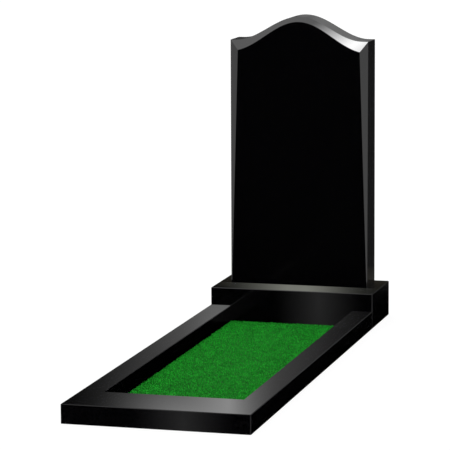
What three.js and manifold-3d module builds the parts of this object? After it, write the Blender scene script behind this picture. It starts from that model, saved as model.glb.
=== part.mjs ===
// Grave monument of polished black granite: a headstone with a wave top and a tapering front bevel,
// on a plinth at the head of a grave bed, which three kerb stones frame and clipped turf fills.
// Millimetres. X runs across the grave, -Y towards its foot and +Z up. The origin is at ground level
// in the middle of the whole footprint.
import * as THREE from "three";
import { mergeVertices } from "three/addons/utils/BufferGeometryUtils.js";
import Module from "manifold-3d";

const wasm = await Module();
wasm.setup();

// Kerb and plinth
const GRAVE_WIDTH = 600;
const KERB_LENGTH = 1660;
const KERB_HEIGHT = 62;
const KERB_SIDE_WIDTH = 75;
const KERB_FOOT_WIDTH = 190;
const PLINTH_DEPTH = 280;
const PLINTH_HEIGHT = 125;

// Headstone
const HEADSTONE_WIDTH = 510;
const HEADSTONE_HEIGHT = 978;
const HEADSTONE_THICKNESS = 125;
// from the back of the headstone to the back of the plinth
const BACK_LEDGE = 40;
// from the shoulders up to the crest of the wave, and the level length of each shoulder
const WAVE_RISE = 86;
const SHOULDER_LENGTH = 20;
// how far the bevel reaches back into the stone at the shoulders and along the wave
const BEVEL_DEPTH = 9;
// the bevel's width on the face: beside the panel at the foot and at the shoulders
const BEVEL_SIDE_FOOT = 2.5;
const BEVEL_SIDE_SHOULDER = 29;
// and above the panel, measured upright, at the shoulders and at the crest
const BEVEL_TOP_SHOULDER = 37;
const BEVEL_TOP_CREST = 18;

// Turf
const TURF_HEIGHT = 6;
const TURF_EDGE = 2;
const TURF_CLEARANCE = 1;

// the small chamfer that dresses a stone's edges, and the gap at a joint between two stones
const ARRIS = 2;
const JOINT = 0.3;

// how many straight steps draw the wave
const WAVE_STEPS = 96;

const footY = -(KERB_LENGTH + PLINTH_DEPTH) / 2;
const plinthFrontY = footY + KERB_LENGTH;
const plinthBackY = plinthFrontY + PLINTH_DEPTH;
const bedFootY = footY + KERB_FOOT_WIDTH;
const bedWidth = GRAVE_WIDTH - 2 * KERB_SIDE_WIDTH;

const FACES = {
  left: new THREE.Vector3(-1, 0, 0),
  right: new THREE.Vector3(1, 0, 0),
  foot: new THREE.Vector3(0, -1, 0),
  head: new THREE.Vector3(0, 1, 0),
  top: new THREE.Vector3(0, 0, 1),
};

function graniteMaterial() {
  return new THREE.MeshStandardMaterial({ color: 0x0b0b0c, roughness: 0.1, metalness: 0 });
}

function turfMaterial() {
  return new THREE.MeshStandardMaterial({ color: 0x1e7022, roughness: 0.95, metalness: 0 });
}

function toSolid(geometry) {
  const plain = geometry.clone();
  plain.deleteAttribute("normal");
  plain.deleteAttribute("uv");
  const merged = mergeVertices(plain);
  return new wasm.Manifold(
    new wasm.Mesh({
      numProp: 3,
      vertProperties: merged.attributes.position.array,
      triVerts: new Uint32Array(merged.index.array),
    }),
  );
}

function toGeometry(solid) {
  const mesh = solid.getMesh();
  const indexed = new THREE.BufferGeometry();
  indexed.setAttribute("position", new THREE.BufferAttribute(mesh.vertProperties, 3));
  indexed.setIndex(new THREE.BufferAttribute(mesh.triVerts, 1));
  return faceted(indexed);
}

function faceted(indexed) {
  const geometry = indexed.toNonIndexed();
  geometry.computeVertexNormals();
  return geometry;
}

// A bar laid along the edge between two faces of a block, turned so that it cuts a chamfer there.
function chamferCutter(size, faceA, faceB, chamfer) {
  const outward = faceA.clone().add(faceB);
  const centre = outward.clone().multiply(size).divideScalar(2);
  const along = faceA.clone().cross(faceB);
  const length = 2 * size.length();
  const bar = new THREE.BoxGeometry(length, Math.SQRT2 * chamfer, 4 * chamfer);
  const diagonal = outward.normalize();
  const turn = new THREE.Matrix4().makeBasis(along, diagonal, along.clone().cross(diagonal));
  return bar.applyMatrix4(turn.setPosition(centre));
}

// A block about its own centre, with a chamfer along each named edge.
function dressedBlock(width, depth, height, edges, chamfer) {
  const size = new THREE.Vector3(width, depth, height);
  let solid = toSolid(new THREE.BoxGeometry(width, depth, height));
  for (const [a, b] of edges) {
    solid = solid.subtract(toSolid(chamferCutter(size, FACES[a], FACES[b], chamfer)));
  }
  return toGeometry(solid);
}

// A block that stands on the ground between two Y positions, centred on centreX.
function groundBlock(name, material, { centreX, width, fromY, toY, height, edges, chamfer }) {
  const geometry = dressedBlock(width, toY - fromY, height, edges, chamfer);
  const mesh = new THREE.Mesh(geometry, material);
  mesh.name = name;
  mesh.position.set(centreX, (fromY + toY) / 2, height / 2);
  return mesh;
}

function plinth() {
  return groundBlock("plinth", graniteMaterial(), {
    centreX: 0,
    width: GRAVE_WIDTH,
    fromY: plinthFrontY,
    toY: plinthBackY,
    height: PLINTH_HEIGHT,
    chamfer: ARRIS,
    edges: [
      ["foot", "top"],
      ["head", "top"],
      ["left", "top"],
      ["right", "top"],
      ["foot", "left"],
      ["foot", "right"],
      ["head", "left"],
      ["head", "right"],
    ],
  });
}

function kerbFoot() {
  return groundBlock("kerb_foot", graniteMaterial(), {
    centreX: 0,
    width: GRAVE_WIDTH,
    fromY: footY,
    toY: bedFootY,
    height: KERB_HEIGHT,
    chamfer: ARRIS,
    edges: [
      ["foot", "top"],
      ["left", "top"],
      ["right", "top"],
      ["foot", "left"],
      ["foot", "right"],
    ],
  });
}

// side is -1 for the left stone and 1 for the right one.
function kerbSide(name, side) {
  return groundBlock(name, graniteMaterial(), {
    centreX: (side * (GRAVE_WIDTH - KERB_SIDE_WIDTH)) / 2,
    width: KERB_SIDE_WIDTH,
    fromY: bedFootY + JOINT,
    toY: plinthFrontY - JOINT,
    height: KERB_HEIGHT,
    chamfer: ARRIS,
    edges: [
      ["left", "top"],
      ["right", "top"],
      ["head", "top"],
      ["head", "left"],
      ["head", "right"],
    ],
  });
}

function turf() {
  return groundBlock("turf", turfMaterial(), {
    centreX: 0,
    width: bedWidth - 2 * TURF_CLEARANCE,
    fromY: bedFootY + TURF_CLEARANCE,
    toY: plinthFrontY - TURF_CLEARANCE,
    height: TURF_HEIGHT,
    chamfer: TURF_EDGE,
    edges: [
      ["foot", "top"],
      ["head", "top"],
      ["left", "top"],
      ["right", "top"],
    ],
  });
}

// The top line of the headstone: level shoulders, and one full wave between them.
function waveHeight(x) {
  const waveHalf = HEADSTONE_WIDTH / 2 - SHOULDER_LENGTH;
  const phase = Math.PI * Math.min(Math.abs(x) / waveHalf, 1);
  return HEADSTONE_HEIGHT - (WAVE_RISE * (1 - Math.cos(phase))) / 2;
}

// The polished panel's top line lies below the wave, by more towards the shoulders.
function panelTop(x, panelHalf) {
  const widening = (BEVEL_TOP_SHOULDER - BEVEL_TOP_CREST) * (x / panelHalf) ** 2;
  return waveHeight(x) - BEVEL_TOP_CREST - widening;
}

// A closed solid skinned over outlines with matching points, from the front one to the back one.
// Each outline is anticlockwise as seen from the front, and the two end outlines are capped flat.
function skin(outlines) {
  const count = outlines[0].length;
  const faces = [];
  for (let ring = 0; ring + 1 < outlines.length; ring++) {
    for (let i = 0; i < count; i++) {
      const a = ring * count + i;
      const b = ring * count + ((i + 1) % count);
      faces.push(a, a + count, b + count, a, b + count, b);
    }
  }
  const capOf = (outline) => THREE.ShapeUtils.triangulateShape(
    outline.map((point) => new THREE.Vector2(point.x, point.z)),
    [],
  );
  const last = count * (outlines.length - 1);
  for (const [a, b, c] of capOf(outlines[0])) {
    faces.push(a, b, c);
  }
  for (const [a, b, c] of capOf(outlines[outlines.length - 1])) {
    faces.push(last + a, last + c, last + b);
  }
  const geometry = new THREE.BufferGeometry().setFromPoints(outlines.flat());
  geometry.setIndex(faces);
  return faceted(geometry);
}

// The headstone stands on its own origin, with its panel in the plane y = 0.
function headstone() {
  const half = HEADSTONE_WIDTH / 2;
  const shoulder = waveHeight(half);
  const panelHalf = half - BEVEL_SIDE_SHOULDER;
  const panelShoulder = panelTop(panelHalf, panelHalf);

  // The side bevel is one flat cut: its depth shrinks with its width from shoulder to foot.
  const taper = (BEVEL_SIDE_SHOULDER - BEVEL_SIDE_FOOT) / panelShoulder;
  const bevelDepthFoot = (BEVEL_DEPTH * BEVEL_SIDE_FOOT) / (BEVEL_SIDE_FOOT + taper * shoulder);

  const across = [];
  for (let i = 0; i <= WAVE_STEPS; i++) {
    across.push(1 - (2 * i) / WAVE_STEPS);
  }
  const outline = (atFoot, atTop, topLine) => [
    new THREE.Vector3(atFoot.half, atFoot.y, 0),
    ...across
      .map((share) => share * atTop.half)
      .map((x) => new THREE.Vector3(x, atTop.y, topLine(x))),
    new THREE.Vector3(-atFoot.half, atFoot.y, 0),
  ];
  const panelFoot = { half: half - BEVEL_SIDE_FOOT, y: 0 };
  const bevelFoot = { half, y: bevelDepthFoot };
  const bevelTop = { half, y: BEVEL_DEPTH };
  const behind = { half, y: HEADSTONE_THICKNESS - ARRIS };
  const back = { half: half - ARRIS, y: HEADSTONE_THICKNESS };
  const geometry = skin([
    outline(panelFoot, { half: panelHalf, y: 0 }, (x) => panelTop(x, panelHalf)),
    outline(bevelFoot, bevelTop, waveHeight),
    outline(behind, behind, waveHeight),
    outline(back, back, (x) => waveHeight((x * half) / back.half) - ARRIS),
  ]);
  const mesh = new THREE.Mesh(geometry, graniteMaterial());
  mesh.name = "headstone";
  mesh.position.set(0, plinthBackY - BACK_LEDGE - HEADSTONE_THICKNESS, PLINTH_HEIGHT + JOINT);
  return mesh;
}

const kerb = new THREE.Group();
kerb.add(kerbSide("kerb_left", -1), kerbSide("kerb_right", 1), kerbFoot());

const monument = new THREE.Group();
monument.add(headstone(), plinth(), kerb, turf());

export default monument;
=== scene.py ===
# Grave monument of polished black granite with a clipped turf bed, in the CAD frame, in metres.
import math
from collections import namedtuple

import bpy
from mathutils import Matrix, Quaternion, Vector


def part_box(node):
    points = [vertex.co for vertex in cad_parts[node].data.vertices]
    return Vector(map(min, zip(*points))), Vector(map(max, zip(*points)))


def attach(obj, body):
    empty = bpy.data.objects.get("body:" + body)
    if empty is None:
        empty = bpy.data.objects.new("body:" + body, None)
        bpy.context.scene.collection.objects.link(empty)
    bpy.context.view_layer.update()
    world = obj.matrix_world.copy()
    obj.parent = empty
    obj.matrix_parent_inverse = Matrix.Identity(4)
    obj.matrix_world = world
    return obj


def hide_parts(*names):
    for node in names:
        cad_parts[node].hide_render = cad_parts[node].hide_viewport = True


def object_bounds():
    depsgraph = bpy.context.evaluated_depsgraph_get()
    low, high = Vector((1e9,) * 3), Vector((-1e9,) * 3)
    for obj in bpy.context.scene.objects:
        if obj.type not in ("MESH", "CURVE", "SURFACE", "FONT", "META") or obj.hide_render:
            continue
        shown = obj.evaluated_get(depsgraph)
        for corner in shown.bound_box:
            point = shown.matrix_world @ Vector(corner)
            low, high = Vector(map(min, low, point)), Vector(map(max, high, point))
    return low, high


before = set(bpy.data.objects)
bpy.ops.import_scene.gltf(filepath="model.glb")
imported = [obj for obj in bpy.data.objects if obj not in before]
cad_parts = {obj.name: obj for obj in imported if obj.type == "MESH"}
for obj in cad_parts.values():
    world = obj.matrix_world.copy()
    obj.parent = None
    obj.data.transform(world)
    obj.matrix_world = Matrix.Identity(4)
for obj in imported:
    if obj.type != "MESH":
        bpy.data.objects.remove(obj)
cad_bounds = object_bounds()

MM = 0.001
MATH = "ShaderNodeMath"

# The photograph: a square picture, taken with a long lens from the right of the grave's foot.
# The angles are in degrees, and the azimuth runs from the foot towards the right.
PICTURE_PIXELS = 450
FOCAL_PIXELS = 2625.3
SENSOR_MM = 36.0
CAMERA_AZIMUTH = 15.802
CAMERA_ELEVATION = 9.084
CAMERA_ROLL = -0.388
CAMERA_DISTANCE = 9.497
CAMERA_TARGET = Vector((-0.2457, 0.690, 0.356))

# The headstone, as the mason cuts it
WAVE_RISE = 86 * MM
SHOULDER_LENGTH = 20 * MM
BEVEL_DEPTH = 9 * MM
BEVEL_SIDE_FOOT = 2.5 * MM
BEVEL_SIDE_SHOULDER = 29 * MM
BEVEL_TOP_SHOULDER = 37 * MM
BEVEL_TOP_CREST = 18 * MM
ARRIS = 2 * MM
WAVE_STEPS = 120
# an edge sharper than this is an arris, and a gentler one is part of the polished curve
ARRIS_ANGLE = math.radians(8)
# points closer than this are one point
WELD = 0.01 * MM

# The granite: crystals are 1 to 2 mm across, and they are drawn at 2 mm, so that they show close up
CRYSTAL = 2 * MM
CRYSTAL_RELIEF = 0.02 * MM
# the saw's and the polisher's passes leave patches a hand wide
POLISH_PATCH = 90 * MM
BEST_POLISH = 0.030
WORST_POLISH = 0.055
SOFT_GRAIN_DULLNESS = 0.010

# The clipped turf
BLADE_HEIGHT = 5.5 * MM
BLADE_WIDTH = 3.2 * MM
BLADES_PER_M2 = 66000
# how far a blade leans at most, in radians, and its least and greatest share of width and height
BLADE_LEAN = 0.62
BLADE_WIDTH_SHARES = (0.7, 1.2)
BLADE_HEIGHT_SHARES = (0.65, 1.0)
GRASS_PATCH = 30 * MM
# the thatch that the blades stand on: its share of the turf's height, its grid and its lumps
THATCH_SHARE = 1 / 3
THATCH_CELL = 12 * MM
THATCH_LUMP = 35 * MM
THATCH_UNEVENNESS = 0.5
# a face of the thatch whose normal rises more than this carries blades
ROOTED_SLOPE = 0.7
TURF_SEED = 11
LEAN_SEED = 3
STATURE_SEED = 4
TINT_SEED = 5

# The floor: white paper that glows and catches a little light, with earth under the grave that
# ends a little inside the grave's outline
FLOOR_REACH = 60.0
PAPER_GLOW = 0.86
EARTH_MARGIN = 3 * MM

# A soft light on a card: its middle and reach as (x, z), its strength, and how fast it falls off
Glow = namedtuple("Glow", "middle reach strength falloff")
TO_FOOT = -1
TO_HEAD = 1
# a card glows in full up to this share of the distance that it is seen from, and then fades
FULL_GLOW_SHARE = 0.8

# A soft wall of light far away, in degrees: its azimuth from the grave's foot towards the left, half
# its width and how soft its ends are, its low and high elevation and how soft those are; and its
# strength. Only the polish sees these walls.
Wall = namedtuple("Wall", "azimuth half_width soft_end low high soft strength")
WALLS = (
    # the bevel over the panel, and the bevels left and right of it
    Wall(20, 34, 8, 20, 60, 8, 2.1),
    Wall(50, 5, 10, -10.5, 0, 14, 1.1),
    Wall(-28, 8, 5, -10.5, 4, 14, 1.15),
    # both sides of the room
    Wall(105, 10, 45, -20, 0, 45, 0.3),
    Wall(-105, 10, 45, -20, 0, 45, 0.3),
    # the pale ground behind, which the backs of the stones mirror, and the ceiling
    Wall(180, 50, 8, -70, -22, 7.5, 0.4),
    Wall(20, 140, 16, 82, 100, 16, 0.5),
    # the headstone's right side, and the ends of the plinth's top
    Wall(-167, 20, 3, -10.2, 24, 0.5, 0.024),
    Wall(166, 8, 3, -4, 7, 3, 0.06),
    # the arrises: upright at the front right, along the front, and along the right
    Wall(-74, 4, 5, -12, -7, 4, 0.35),
    Wall(60, 7, 6, 69, 74, 4, 1.0),
    Wall(-170.6, 3, 4, 14, 17.5, 3, 0.18),
)


# Helpers

def sine(degrees):
    return math.sin(math.radians(degrees))


def cosine(degrees):
    return math.cos(math.radians(degrees))


def linear(hex_colour):
    """A colour given as sRGB hex, as the linear RGBA that a shader wants."""
    parts = [int(hex_colour[i:i + 2], 16) / 255 for i in (1, 3, 5)]
    return [c / 12.92 if c <= 0.04045 else ((c + 0.055) / 1.055) ** 2.4 for c in parts] + [1.0]


def feed(tree, node, inputs):
    """Gives a node's inputs, by place or by name, each a value, a socket or a node."""
    for key, value in inputs.items() if isinstance(inputs, dict) else enumerate(inputs):
        if isinstance(value, bpy.types.Node):
            value = value.outputs[0]
        if isinstance(value, bpy.types.NodeSocket):
            tree.links.new(value, node.inputs[key])
        else:
            node.inputs[key].default_value = value


def add(tree, kind, inputs=(), **settings):
    """Adds a node with its settings, and feeds it."""
    node = tree.nodes.new(kind)
    for name, value in settings.items():
        setattr(node, name, value)
    feed(tree, node, inputs)
    return node


def new_material(name):
    """An empty node material, with its tree."""
    material = bpy.data.materials.new(name)
    material.use_nodes = True
    material.node_tree.nodes.clear()
    return material, material.node_tree


def into_scene(name, data):
    """A new object for this mesh or camera, in the scene."""
    made = bpy.data.objects.new(name, data)
    bpy.context.scene.collection.objects.link(made)
    return made


def stage_sheet(name, corners, material):
    """A flat sheet of the studio with four corners, which is no part of the monument."""
    mesh = bpy.data.meshes.new(name)
    mesh.from_pydata(corners, [], [(0, 1, 2, 3)])
    mesh.materials.append(material)
    sheet = into_scene(name, mesh)
    return sheet


def new_growth(name, sizes):
    """An empty Geometry Nodes tree with one named input for each size, and those inputs' sockets."""
    tree = bpy.data.node_groups.new(name, "GeometryNodeTree")
    tree.interface.new_socket("Geometry", in_out="OUTPUT", socket_type="NodeSocketGeometry")
    for label, value in sizes.items():
        kind = "NodeSocketInt" if isinstance(value, int) else "NodeSocketFloat"
        tree.interface.new_socket(label, in_out="INPUT", socket_type=kind)
    return tree, add(tree, "NodeGroupInput").outputs


def finish_growth(tree, geometry, material):
    """Ends a tree with plain geometry in one material."""
    plain = add(tree, "GeometryNodeRealizeInstances", [geometry])
    dressed = add(tree, "GeometryNodeSetMaterial", {"Geometry": plain, "Material": material})
    add(tree, "NodeGroupOutput", [dressed])


def grow(name, tree, sizes):
    """Runs a tree with these sizes and keeps what it makes as an object with a plain mesh."""
    grown = into_scene(name, bpy.data.meshes.new(name + "_seed"))
    modifier = grown.modifiers.new(tree.name, "NODES")
    modifier.node_group = tree
    for socket in tree.interface.items_tree:
        if socket.in_out == "INPUT":
            modifier[socket.identifier] = sizes[socket.name]
    depsgraph = bpy.context.evaluated_depsgraph_get()
    mesh = bpy.data.meshes.new_from_object(grown.evaluated_get(depsgraph), depsgraph=depsgraph)
    mesh.name = name
    grown.modifiers.remove(modifier)
    grown.data = mesh
    return grown


# Materials

def polished_black_granite():
    """Gabbro-diabase, sawn and mirror-polished: near black, with dark grey and brown crystals deep
    in the gloss, and a polish that is a little duller on the softer grains and in patches."""
    material, tree = new_material("polished_black_granite")
    place = add(tree, "ShaderNodeTexCoord").outputs["Object"]
    # each crystal draws three chances: for its shade, its polish and its height
    crystals = add(tree, "ShaderNodeTexVoronoi", {"Vector": place, "Scale": 1 / CRYSTAL})
    chance = add(tree, "ShaderNodeSeparateColor", [crystals.outputs["Color"]]).outputs
    colour = add(tree, "ShaderNodeValToRGB", [chance[0]])
    ramp = colour.color_ramp
    ramp.elements[0].color = linear("#010102")
    ramp.elements[1].color = linear("#121215")
    for at, shade in ((0.55, "#020203"), (0.80, "#050506"), (0.93, "#0a0807")):
        ramp.elements.new(at).color = linear(shade)
    patches = add(tree, "ShaderNodeTexNoise", {
        "Vector": place,
        "Scale": 1 / POLISH_PATCH,
        "Detail": 3.0,
    })
    polish = add(tree, "ShaderNodeMapRange", [patches, 0.3, 0.7, BEST_POLISH, WORST_POLISH])
    grain = add(tree, MATH, [chance[1], SOFT_GRAIN_DULLNESS], operation="MULTIPLY")
    relief = add(tree, "ShaderNodeBump", {
        "Strength": 0.05,
        "Distance": CRYSTAL_RELIEF,
        "Height": chance[2],
    })
    surface = add(tree, "ShaderNodeBsdfPrincipled", {
        "Base Color": colour,
        "Metallic": 0.0,
        "Roughness": add(tree, MATH, [polish, grain], operation="ADD"),
        "IOR": 1.55,
        "Normal": relief,
    })
    add(tree, "ShaderNodeOutputMaterial", {"Surface": surface})
    return material


def clipped_grass():
    """Short clipped grass seen as a carpet: each blade has its own green, with painted shade that
    darkens it towards the root and lightens it at the cut tip, and with lighter and darker patches
    a few centimetres wide."""
    material, tree = new_material("clipped_grass")
    place = add(tree, "ShaderNodeTexCoord").outputs["Object"]
    tint = add(tree, "ShaderNodeAttribute", attribute_name="blade_tint").outputs["Fac"]
    colour = add(tree, "ShaderNodeValToRGB", [tint])
    ramp = colour.color_ramp
    ramp.elements[0].color = linear("#0c7114")
    ramp.elements[1].color = linear("#38ca3c")
    for at, shade in ((0.35, "#179a24"), (0.70, "#20b230")):
        ramp.elements.new(at).color = linear(shade)
    patches = add(tree, "ShaderNodeTexNoise", {
        "Vector": place,
        "Scale": 1 / GRASS_PATCH,
        "Detail": 4.0,
    })
    patch_shade = add(tree, "ShaderNodeMapRange", [patches, 0.3, 0.7, 0.80, 1.15])
    spot = add(tree, "ShaderNodeSeparateXYZ", [place]).outputs
    # painted shade: by height alone, the colour darkens towards the roots and the thatch and
    # lightens at the tips
    root_shade = add(tree, "ShaderNodeMapRange", [spot["Z"], 0.0, BLADE_HEIGHT, 0.45, 1.15])
    # the grass grows lighter towards the kerbs on both sides, up to 1.3 times
    kerb_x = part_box("turf")[1].x
    aside = add(tree, MATH, [spot["X"]], operation="ABSOLUTE")
    rim_shade = add(tree, "ShaderNodeMapRange", [aside, 0.5 * kerb_x, kerb_x, 1.0, 1.3])
    grown_shade = add(tree, MATH, [patch_shade, root_shade], operation="MULTIPLY")
    light = add(tree, MATH, [grown_shade, rim_shade], operation="MULTIPLY")
    surface = add(tree, "ShaderNodeBsdfPrincipled", {
        "Base Color": add(tree, "ShaderNodeVectorMath", [colour, light], operation="MULTIPLY"),
        "Roughness": 0.7,
        "IOR": 1.45,
        "Specular IOR Level": 0.2,
    })
    add(tree, "ShaderNodeOutputMaterial", {"Surface": surface})
    return material


# Headstone

# One ring of the headstone's points: half its width at the foot and along the top, the half width
# over which it follows the wave, how far behind the panel its foot and its top lie, how far its top
# lies below the wave at the crest, and how much further at the shoulders
Ring = namedtuple("Ring", "foot_half top_half wave_reach foot_y top_y drop shoulder_drop")
RING_COUNT = 6


def headstone_grid(tree, steps):
    """A grid with a row for each ring and a column for each of its points. Each ring runs from the
    right foot over the wave to the left foot and closes along the foot. With it come the fields
    for a point's ring, its share across from 1 at the right to -1 at the left, and whether it is a
    foot."""
    spans = add(tree, MATH, [steps, 3.0], operation="ADD")
    grid = add(tree, "GeometryNodeMeshGrid", {
        "Size X": spans,
        "Size Y": RING_COUNT - 1.0,
        "Vertices X": add(tree, MATH, [spans, 1.0], operation="ADD"),
        "Vertices Y": RING_COUNT,
    })
    seat = add(tree, "ShaderNodeSeparateXYZ", [add(tree, "GeometryNodeInputPosition")]).outputs
    from_edge = add(tree, MATH, [spans, 0.5, seat["X"]], operation="MULTIPLY_ADD")
    counted = add(tree, MATH, [from_edge], operation="ROUND")
    column = add(tree, MATH, [counted, spans], operation="FLOORED_MODULO")
    from_first = add(tree, MATH, [seat["Y"], (RING_COUNT - 1) / 2], operation="ADD")
    ring = add(tree, MATH, [from_first], operation="ROUND")

    last = add(tree, MATH, [steps, 1.0], operation="ADD")
    share = add(tree, "ShaderNodeMapRange", [column, 1.0, last, 1.0, -1.0])
    middle = add(tree, MATH, [steps, 0.5, 1.0], operation="MULTIPLY_ADD")
    aside = add(tree, MATH, [column, middle], operation="SUBTRACT")
    off_middle = add(tree, MATH, [aside], operation="ABSOLUTE")
    past_wave = add(tree, MATH, [steps, 0.5, 0.5], operation="MULTIPLY_ADD")
    at_foot = add(tree, MATH, [off_middle, past_wave], operation="GREATER_THAN")
    return grid, ring, share, at_foot


def headstone_rings(tree, size, half, ring):
    """The measures of the ring that a point belongs to, from the back of the stone to its panel."""
    back_half = add(tree, MATH, [half, size["Arris"]], operation="SUBTRACT")
    behind_y = add(tree, MATH, [size["Thickness"], size["Arris"]], operation="SUBTRACT")
    panel_foot = add(tree, MATH, [half, size["Side bevel at foot"]], operation="SUBTRACT")
    panel_half = add(tree, MATH, [half, size["Side bevel at shoulder"]], operation="SUBTRACT")
    shoulder_drop = add(tree, MATH, [
        size["Top bevel at shoulder"],
        size["Top bevel at crest"],
    ], operation="SUBTRACT")
    back_y = size["Thickness"]
    back = Ring(back_half, back_half, half, back_y, back_y, size["Arris"], 0.0)
    behind = Ring(half, half, half, behind_y, behind_y, 0.0, 0.0)
    bevel = Ring(half, half, half, size["Bevel depth at foot"], size["Bevel depth"], 0.0, 0.0)
    crest_drop = size["Top bevel at crest"]
    panel = Ring(panel_foot, panel_half, panel_half, 0.0, 0.0, crest_drop, shoulder_drop)
    chosen = []
    for choices in zip(back, back, behind, bevel, panel, panel):
        choose = add(tree, "GeometryNodeIndexSwitch", data_type="FLOAT")
        while len(choose.index_switch_items) < RING_COUNT:
            choose.index_switch_items.new()
        feed(tree, choose, (ring, *choices))
        chosen.append(choose)
    return Ring(*chosen)


def wave_height(tree, size, half, across):
    """The top line at this distance from the middle: one full cosine between level shoulders."""
    wave_half = add(tree, MATH, [half, size["Shoulder"]], operation="SUBTRACT")
    along = add(tree, MATH, [across, wave_half], operation="DIVIDE")
    portion = add(tree, MATH, [along, 1.0], operation="MINIMUM")
    angle = add(tree, MATH, [portion, math.pi], operation="MULTIPLY")
    swing = add(tree, MATH, [angle], operation="COSINE")
    fallen = add(tree, MATH, [swing, -0.5, 0.5], operation="MULTIPLY_ADD")
    fall = add(tree, MATH, [size["Wave rise"], fallen], operation="MULTIPLY")
    return add(tree, MATH, [size["Height"], fall], operation="SUBTRACT")


def headstone_growth(sizes, material):
    """The headstone as rings of points, from the middle of its back to the middle of its panel."""
    tree, size = new_growth("headstone_by_rule", sizes)
    half = add(tree, MATH, [size["Width"], 2.0], operation="DIVIDE")
    grid, ring, share, at_foot = headstone_grid(tree, size["Wave steps"])
    chosen = headstone_rings(tree, size, half, ring)

    off_middle = add(tree, MATH, [share], operation="ABSOLUTE")
    across = add(tree, MATH, [off_middle, chosen.wave_reach], operation="MULTIPLY")
    wave = wave_height(tree, size, half, across)
    square = add(tree, MATH, [share, 2.0], operation="POWER")
    drop = add(tree, MATH, [chosen.shoulder_drop, square, chosen.drop], operation="MULTIPLY_ADD")
    top = add(tree, MATH, [wave, drop], operation="SUBTRACT")

    # a Mix node's numbers are its third and fourth input
    reach = add(tree, "ShaderNodeMix", {0: at_foot, 2: chosen.top_half, 3: chosen.foot_half})
    depth = add(tree, "ShaderNodeMix", {0: at_foot, 2: chosen.top_y, 3: chosen.foot_y})
    upright = add(tree, "ShaderNodeMix", {0: at_foot, 2: top, 3: 0.0})

    # the first and the last ring shrink to the middle of the back and of the panel
    from_middle = add(tree, MATH, [ring, (RING_COUNT - 1) / 2], operation="SUBTRACT")
    off_middle_ring = add(tree, MATH, [from_middle], operation="ABSOLUTE")
    spread = add(tree, MATH, [off_middle_ring, (RING_COUNT - 2) / 2], operation="LESS_THAN")
    beside = add(tree, MATH, [share, reach], operation="MULTIPLY")
    middle = add(tree, MATH, [size["Height"], 2.0], operation="DIVIDE")
    above = add(tree, "ShaderNodeMix", {0: spread, 2: middle, 3: upright})
    position = add(tree, "ShaderNodeCombineXYZ", [
        add(tree, MATH, [beside, spread], operation="MULTIPLY"),
        add(tree, MATH, [depth, size["Panel Y"]], operation="ADD"),
        add(tree, MATH, [above, size["Foot Z"]], operation="ADD"),
    ])
    shaped = add(tree, "GeometryNodeSetPosition", {"Geometry": grid, "Position": position})
    closed = add(tree, "GeometryNodeMergeByDistance", {"Geometry": shaped, "Distance": WELD})

    smooth = add(tree, "GeometryNodeSetShadeSmooth", {"Geometry": closed})
    edge_angle = add(tree, "GeometryNodeInputMeshEdgeAngle")
    sharp = add(tree, MATH, [edge_angle, ARRIS_ANGLE], operation="GREATER_THAN")
    edged = add(tree, "GeometryNodeSetShadeSmooth", {
        "Geometry": smooth,
        "Selection": sharp,
        "Shade Smooth": False,
    }, domain="EDGE")
    finish_growth(tree, edged, material)
    return tree


def make_headstone(material):
    """The headstone, in the CAD headstone's place and at its size."""
    low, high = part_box("headstone")
    width, thickness, height = high - low
    # the side bevel is one flat cut, so its depth shrinks with its width from shoulder to foot
    panel_shoulder = height - WAVE_RISE - BEVEL_TOP_SHOULDER
    taper = (BEVEL_SIDE_SHOULDER - BEVEL_SIDE_FOOT) / panel_shoulder
    widest = BEVEL_SIDE_FOOT + taper * (height - WAVE_RISE)
    sizes = {
        "Width": width,
        "Height": height,
        "Thickness": thickness,
        "Panel Y": low.y,
        "Foot Z": low.z,
        "Wave rise": WAVE_RISE,
        "Shoulder": SHOULDER_LENGTH,
        "Bevel depth": BEVEL_DEPTH,
        "Bevel depth at foot": BEVEL_DEPTH * BEVEL_SIDE_FOOT / widest,
        "Side bevel at foot": BEVEL_SIDE_FOOT,
        "Side bevel at shoulder": BEVEL_SIDE_SHOULDER,
        "Top bevel at shoulder": BEVEL_TOP_SHOULDER,
        "Top bevel at crest": BEVEL_TOP_CREST,
        "Arris": ARRIS,
        "Wave steps": WAVE_STEPS,
    }
    stone = grow("headstone_stone", headstone_growth(sizes, material), sizes)
    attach(stone, "root")
    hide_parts("headstone")


# Turf

def thatch_mat(tree, size):
    """The closed mat of thatch, with an uneven top."""
    extent = add(tree, "ShaderNodeCombineXYZ", [size["Width"], size["Length"], size["Mat height"]])
    centre_z = add(tree, MATH, [size["Mat height"], 2.0], operation="DIVIDE")
    centre = add(tree, "ShaderNodeCombineXYZ", [0.0, size["Centre Y"], centre_z])
    block = add(tree, "GeometryNodeMeshCube", {
        "Size": extent,
        "Vertices X": add(tree, MATH, [size["Width"], size["Cell"]], operation="DIVIDE"),
        "Vertices Y": add(tree, MATH, [size["Length"], size["Cell"]], operation="DIVIDE"),
        "Vertices Z": 2,
    })
    placed = add(tree, "GeometryNodeTransform", {"Geometry": block, "Translation": centre})
    spot = add(tree, "ShaderNodeSeparateXYZ", [add(tree, "GeometryNodeInputPosition")]).outputs
    on_top = add(tree, MATH, [spot["Z"], centre_z], operation="GREATER_THAN")
    lumps = add(tree, "ShaderNodeTexNoise", {"Scale": 1 / THATCH_LUMP, "Detail": 2.0})
    lift = add(tree, "ShaderNodeMapRange", [lumps, 0.3, 0.7, 0.0, size["Unevenness"]])
    return add(tree, "GeometryNodeSetPosition", {
        "Geometry": placed,
        "Selection": on_top,
        "Offset": add(tree, "ShaderNodeCombineXYZ", [0.0, 0.0, lift]),
    })


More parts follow.
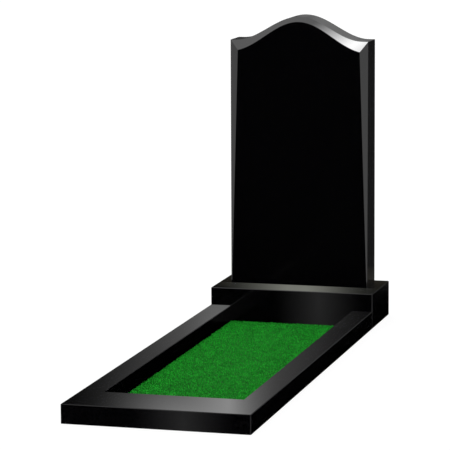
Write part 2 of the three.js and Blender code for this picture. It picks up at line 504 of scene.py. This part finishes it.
def turf_growth(sizes, material):
    """The mat of thatch, and blades that stand on its top at random."""
    tree, size = new_growth("clipped_turf", sizes)
    thatch = thatch_mat(tree, size)
    facing = add(tree, "ShaderNodeSeparateXYZ", [add(tree, "GeometryNodeInputNormal")]).outputs
    roots = add(tree, "GeometryNodeDistributePointsOnFaces", {
        "Mesh": thatch,
        "Selection": add(tree, MATH, [facing["Z"], ROOTED_SLOPE], operation="GREATER_THAN"),
        "Density": size["Blades per square metre"],
        "Seed": size["Seed"],
    })
    blade = add(tree, "GeometryNodeMeshCone", {
        "Vertices": 3,
        "Radius Top": 0.0,
        "Radius Bottom": add(tree, MATH, [size["Blade width"], 2.0], operation="DIVIDE"),
        "Depth": size["Blade height"],
    }, fill_type="NGON")
    lean = add(tree, "FunctionNodeRandomValue", {
        "Min": (-BLADE_LEAN, -BLADE_LEAN, 0.0),
        "Max": (BLADE_LEAN, BLADE_LEAN, 2 * math.pi),
        "Seed": LEAN_SEED,
    }, data_type="FLOAT_VECTOR")
    thin, wide = BLADE_WIDTH_SHARES
    short, tall = BLADE_HEIGHT_SHARES
    stature = add(tree, "FunctionNodeRandomValue", {
        "Min": (thin, thin, short),
        "Max": (wide, wide, tall),
        "Seed": STATURE_SEED,
    }, data_type="FLOAT_VECTOR")
    sward = add(tree, "GeometryNodeInstanceOnPoints", {
        "Points": roots,
        "Instance": blade,
        "Rotation": lean,
        "Scale": stature,
    })
    # a Random Value node's numbers are its third and fourth input, and its second output
    tint = add(tree, "FunctionNodeRandomValue", {
        2: 0.0,
        3: 1.0,
        "Seed": TINT_SEED,
    }, data_type="FLOAT").outputs[1]
    tinted = add(tree, "GeometryNodeStoreNamedAttribute", {
        "Geometry": sward,
        "Name": "blade_tint",
        "Value": tint,
    }, data_type="FLOAT", domain="INSTANCE")
    # both go into the one input of the Join node
    joined = add(tree, "GeometryNodeJoinGeometry", [tinted])
    feed(tree, joined, [thatch])
    finish_growth(tree, joined, material)
    return tree


def make_turf(material):
    """The turf, in the CAD turf's place and at its size."""
    low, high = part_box("turf")
    mat_height = (high.z - low.z) * THATCH_SHARE
    sizes = {
        "Width": high.x - low.x,
        "Length": high.y - low.y,
        "Centre Y": (low.y + high.y) / 2,
        "Mat height": mat_height,
        "Cell": THATCH_CELL,
        "Unevenness": mat_height * THATCH_UNEVENNESS,
        "Blade height": BLADE_HEIGHT,
        "Blade width": BLADE_WIDTH,
        "Blades per square metre": BLADES_PER_M2,
        "Seed": TURF_SEED,
    }
    turf = grow("turf_sward", turf_growth(sizes, material), sizes)
    # the photograph's black stone mirrors no green
    turf.visible_glossy = False
    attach(turf, "root")
    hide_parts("turf")


# Studio

def make_floor():
    """A plain white floor, bright enough to meet the white surroundings with hardly a shadow. Under
    the grave it is dark earth, which shows only in the joints and beside the turf."""
    material, tree = new_material("white_studio_floor")
    glow = add(tree, "ShaderNodeEmission", {"Color": linear("#ffffff"), "Strength": PAPER_GLOW})
    matt = add(tree, "ShaderNodeBsdfDiffuse", {"Color": linear("#7c7c7c")})
    paper = add(tree, "ShaderNodeAddShader", [glow, matt])
    earth = add(tree, "ShaderNodeBsdfDiffuse", {"Color": linear("#2a221a")})
    place = add(tree, "ShaderNodeTexCoord").outputs["Object"]
    from_middle = add(tree, "ShaderNodeVectorMath", [place], operation="ABSOLUTE")
    apart = add(tree, "ShaderNodeSeparateXYZ", [from_middle]).outputs
    _, grave_corner = cad_bounds
    beyond = [
        add(tree, MATH, [apart[axis], grave_corner[axis] - EARTH_MARGIN], operation="GREATER_THAN")
        for axis in (0, 1)
    ]
    outside = add(tree, MATH, beyond, operation="MAXIMUM")
    surface = add(tree, "ShaderNodeMixShader", [outside, earth, paper])
    add(tree, "ShaderNodeOutputMaterial", {"Surface": surface})
    signs = ((-1, -1), (1, -1), (1, 1), (-1, 1))
    corners = [(x * FLOOR_REACH, y * FLOOR_REACH, 0) for x, y in signs]
    floor = stage_sheet("studio_floor", corners, material)
    floor.visible_glossy = False
    floor.visible_diffuse = False


def reflector(name, y, facing, low, high, near, glows, tint="#ffffff", dark=False):
    """An upright card across the grave at that Y that only the polish sees, from the side it faces
    and from no further than near. It spans two corners (x, z), and its glows are soft-edged. A dark
    card hides what is behind it, and any other lets it through."""
    material, tree = new_material(name)
    place = add(tree, "ShaderNodeTexCoord").outputs["Object"]
    total = 0.0
    for glow in glows:
        (x, z), (reach_x, reach_z) = glow.middle, glow.reach
        off = add(tree, "ShaderNodeVectorMath", [place, (x, y, z)], operation="SUBTRACT")
        scaled = add(tree, "ShaderNodeVectorMath", [off, (reach_x, 1.0, reach_z)],
                     operation="DIVIDE")
        distance = add(tree, "ShaderNodeVectorMath", [scaled], operation="LENGTH").outputs["Value"]
        inside = add(tree, MATH, [1.0, distance], operation="SUBTRACT", use_clamp=True)
        soft = add(tree, MATH, [inside, glow.falloff], operation="POWER")
        total = add(tree, MATH, [soft, glow.strength, total], operation="MULTIPLY_ADD")
    travelled = add(tree, "ShaderNodeLightPath").outputs["Ray Length"]
    close = add(tree, "ShaderNodeMapRange", [travelled, near, FULL_GLOW_SHARE * near, 0.0, total])
    front = add(tree, "ShaderNodeEmission", {"Color": linear(tint), "Strength": close})
    unseen = add(tree, "ShaderNodeBsdfTransparent")
    if not dark:
        front = add(tree, "ShaderNodeAddShader", [front, unseen])
    from_behind = add(tree, "ShaderNodeNewGeometry").outputs["Backfacing"]
    surface = add(tree, "ShaderNodeMixShader", [from_behind, front, unseen])
    add(tree, "ShaderNodeOutputMaterial", {"Surface": surface})
    material.cycles.emission_sampling = "NONE"

    (left, bottom), (right, top) = low, high
    corners = [(left, y, bottom), (right, y, bottom), (right, y, top), (left, y, top)]
    card = stage_sheet(name, corners if facing == TO_FOOT else corners[::-1], material)
    card.visible_camera = False
    card.visible_diffuse = False
    card.visible_shadow = False
    card.visible_transmission = False


def hang_reflectors():
    """The cards that give the stones their highlights."""
    (_, plinth_y, _), (side, plinth_back, plinth_top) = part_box("plinth")
    (_, foot_y, _), (_, _, kerb_top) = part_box("kerb_foot")
    panel_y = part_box("headstone")[0].y

    # the highlights along the kerb's tops
    reflector("kerb_top_reflector", plinth_y - 5 * MM, TO_FOOT,
              low=(-1.2, kerb_top), high=(side, 0.7), near=9.0, glows=[
                  Glow((-0.235, 0.425), (0.205, 0.58), 0.44, 2.0),
                  Glow((-0.415, 0.545), (0.38, 0.295), 0.69, 2.0),
                  Glow((-0.275, 0.305), (0.71, 3.0), 0.30, 2.0),
              ])
    # the plinth's top in front of the headstone, and beside it
    reflector("plinth_top_reflector", panel_y - 1 * MM, TO_FOOT,
              low=(-0.5, plinth_top), high=(side, 0.2), near=0.3, tint="#fcfff0", glows=[
                  Glow((-0.045, 0.138), (0.34, 0.30), 0.285, 2.0),
                  Glow((0.03, 0.138), (0.34, 0.30), 0.285, 2.0),
                  Glow((0.085, 0.138), (0.10, 0.30), 0.04, 1.2),
              ])
    reflector("plinth_end_reflector", plinth_back + 5 * MM, TO_FOOT,
              low=(-0.5, plinth_top), high=(0.4, 0.21), near=0.36, tint="#fff6dc", glows=[
                  Glow((-0.05, plinth_top), (3.0, 0.05), 0.045, 0.6),
              ])
    # the faint upright streaks in the front faces of the plinth and the kerb's foot
    reflector("plinth_front_reflector", plinth_y - 15 * MM, TO_HEAD,
              low=(-0.2, 0.0), high=(side, plinth_top), near=0.1, glows=[
                  Glow((0.10, 0.08), (0.17, 0.60), 0.35, 1.5),
              ])
    reflector("kerb_foot_reflector", foot_y - 85 * MM, TO_HEAD,
              low=(-0.2, -0.2), high=(side, kerb_top), near=0.2, glows=[
                  Glow((0.065, 0.0), (0.17, 0.40), 0.35, 1.5),
              ])
    # the bright end of the bevel under the wave
    reflector("bevel_reflector", panel_y - 1.0, TO_HEAD,
              low=(-0.5, 0.9), high=(0.7, 2.1), near=2.0, glows=[
                  Glow((0.10, 1.50), (0.55, 0.58), 21.0, 1.0),
              ])
    # the wave's top seen from the foot, and from the head, where it must not catch the bevel's light
    reflector("wave_top_reflector", panel_y + 0.475, TO_FOOT,
              low=(-0.3, 1.05), high=(0.4, 1.4), near=2.0, glows=[
                  Glow((0.06, 1.20), (0.34, 0.15), 0.31, 1.0),
                  Glow((0.12, 1.105), (0.25, 0.11), 0.235, 0.8),
              ])
    reflector("wave_back_reflector", panel_y + 11 * MM, TO_HEAD,
              low=(-0.4, 1.0), high=(0.4, 2.1), near=2.0, dark=True, glows=[
                  Glow((0.0, 1.10), (0.45, 0.60), 0.5, 1.5),
              ])


def light_room():
    """Even white light on matt things. The polish sees a dark room with soft walls of light."""
    world = bpy.data.worlds.new("studio")
    bpy.context.scene.world = world
    world.use_nodes = True
    world.cycles.sampling_method = "NONE"
    tree = world.node_tree
    tree.nodes.clear()
    direction = add(tree, "ShaderNodeTexCoord").outputs["Generated"]
    height = add(tree, "ShaderNodeSeparateXYZ", [direction]).outputs["Z"]
    flat = add(tree, "ShaderNodeVectorMath", [direction, (1, 1, 0)], operation="MULTIPLY")
    level = add(tree, "ShaderNodeVectorMath", [flat], operation="NORMALIZE")
    total = 0.0
    for wall in WALLS:
        middle = (-sine(wall.azimuth), -cosine(wall.azimuth), 0)
        towards = add(tree, "ShaderNodeVectorMath", [level, middle],
                      operation="DOT_PRODUCT").outputs["Value"]
        edges = (
            (towards, cosine(wall.half_width + wall.soft_end), cosine(wall.half_width)),
            (height, sine(wall.low - wall.soft), sine(wall.low)),
            (height, sine(wall.high + wall.soft), sine(wall.high)),
        )
        glow = wall.strength
        for value, dark, lit in edges:
            share = add(tree, "ShaderNodeMapRange", [value, dark, lit, 0.0, 1.0],
                        interpolation_type="SMOOTHSTEP")
            glow = add(tree, MATH, [share, glow], operation="MULTIPLY")
        total = add(tree, MATH, [total, glow], operation="ADD")
    on_polish = add(tree, "ShaderNodeLightPath").outputs["Is Glossy Ray"]
    strength = add(tree, "ShaderNodeMix", {0: on_polish, 2: 1.0, 3: total})
    sky = add(tree, "ShaderNodeBackground", {"Color": linear("#ffffff"), "Strength": strength})
    add(tree, "ShaderNodeOutputWorld", {"Surface": sky})


def place_camera():
    """The photograph's camera."""
    back = Vector((
        sine(CAMERA_AZIMUTH) * cosine(CAMERA_ELEVATION),
        -cosine(CAMERA_AZIMUTH) * cosine(CAMERA_ELEVATION),
        sine(CAMERA_ELEVATION),
    ))
    lens = bpy.data.cameras.new("photo_camera")
    lens.sensor_width = SENSOR_MM
    lens.lens = FOCAL_PIXELS * SENSOR_MM / PICTURE_PIXELS
    lens.clip_start = 0.1
    lens.clip_end = 200.0
    camera = into_scene("photo_camera", lens)
    camera.location = CAMERA_TARGET + back * CAMERA_DISTANCE
    aim = (-back).to_track_quat("-Z", "Y")
    roll = Quaternion((0, 0, 1), math.radians(CAMERA_ROLL))
    camera.rotation_euler = (aim @ roll).to_euler()
    bpy.context.scene.camera = camera


granite = polished_black_granite()
for name in ("plinth", "kerb_left", "kerb_right", "kerb_foot"):
    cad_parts[name].material_slots[0].material = granite
make_headstone(granite)
make_turf(clipped_grass())
make_floor()
light_room()
hang_reflectors()
place_camera()
bpy.context.scene.view_settings.view_transform = "Standard"
